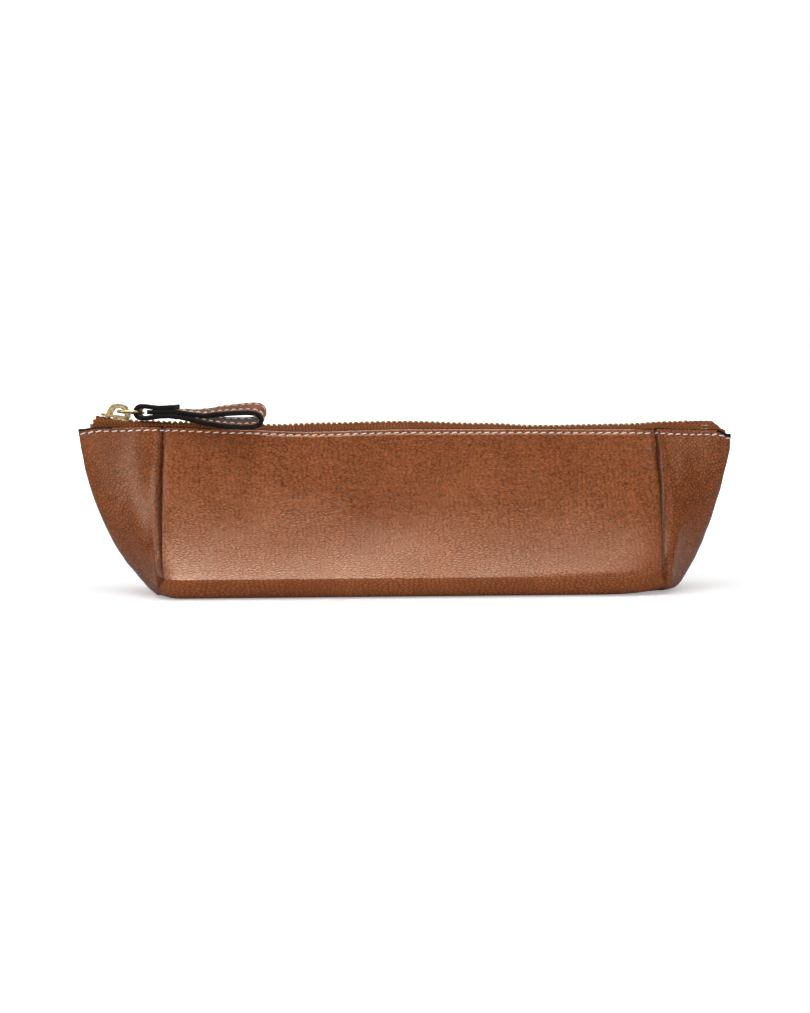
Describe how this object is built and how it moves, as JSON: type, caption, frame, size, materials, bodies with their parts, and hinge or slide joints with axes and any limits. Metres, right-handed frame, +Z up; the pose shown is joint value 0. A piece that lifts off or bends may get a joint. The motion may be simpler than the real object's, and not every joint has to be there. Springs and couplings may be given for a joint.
{
  "type": "pencil case",
  "caption": "Soft leather pencil case with a flat oblong base, folded ends and walls that lean together to a zip along the top; the slider has a leather loop pull.",
  "frame": {"origin": "centre of the base on the floor, under the middle of the bounding box", "axes": "+X along the zip from the closed end, where the slider rests, to the other end; the front faces -Y; +Z up"},
  "size_m": [0.24, 0.056, 0.0703],
  "materials": {
    "case_leather": "pebbled, semi-gloss",
    "strap_leather": "pebbled, edges painted black",
    "lining": "plain cotton weave",
    "board": "pulpboard",
    "zip_tape": "woven tape",
    "zip_metal": "antique brass",
    "thread": "waxed thread"
  },
  "bodies": {
    "case": {"base_panel": "case_leather", "base_board": "board", "base_lining": "lining", "left_gusset": "case_leather", "right_gusset": "case_leather", "left_lining": "lining", "right_lining": "lining", "left_gusset_stitching": "thread", "right_gusset_stitching": "thread", "bottom_stop": "zip_metal"},
    "front_wall": {"front_panel": "case_leather", "front_lining": "lining", "front_zip_tape": "zip_tape", "front_zip_teeth": "zip_metal", "front_top_stop": "zip_metal", "front_top_stitching": "thread"},
    "back_wall": {"back_panel": "case_leather", "back_lining": "lining", "back_zip_tape": "zip_tape", "back_zip_teeth": "zip_metal", "back_top_stop": "zip_metal", "back_top_stitching": "thread"},
    "slider": {"slider_body": "zip_metal", "slider_bridge": "zip_metal"},
    "pull_link": {"pull_ring": "zip_metal"},
    "pull": {"pull_strap": "strap_leather", "pull_strap_stitching": "thread"}
  },
  "joints": [
    {"name": "slider_slide", "type": "slide", "parent": "case", "child": "slider", "axis": [1, 0, 0], "range_m": [0, 0.21]},
    {"name": "front_wall_open", "type": "hinge", "parent": "case", "child": "front_wall", "pos_m": [0, -0.022, 0.0007], "axis": [1, 0, 0], "range_deg": [0, 14], "deforming": ["front_zip_tape", "front_zip_teeth", "front_top_stop"]},
    {"name": "back_wall_open", "type": "hinge", "parent": "case", "child": "back_wall", "pos_m": [0, 0.022, 0.0007], "axis": [-1, 0, 0], "range_deg": [0, 14], "deforming": ["back_zip_tape", "back_zip_teeth", "back_top_stop"]},
    {"name": "link_swing", "type": "hinge", "parent": "slider", "child": "pull_link", "pos_m": [-0.1057, 0, 0.06603], "axis": [-0.3319, -0.9118, -0.2419], "range_deg": [0, 110]},
    {"name": "strap_swing", "type": "hinge", "parent": "pull_link", "child": "pull", "pos_m": [-0.09697, -0.00339, 0.06683], "axis": [-0.3319, -0.9118, -0.2419], "range_deg": [0, 75]}
  ],
  "couplings": [
    {"joint": "front_wall_open", "follows": "slider_slide", "rad_per_m": 1.16},
    {"joint": "back_wall_open", "follows": "slider_slide", "rad_per_m": 1.16}
  ]
}
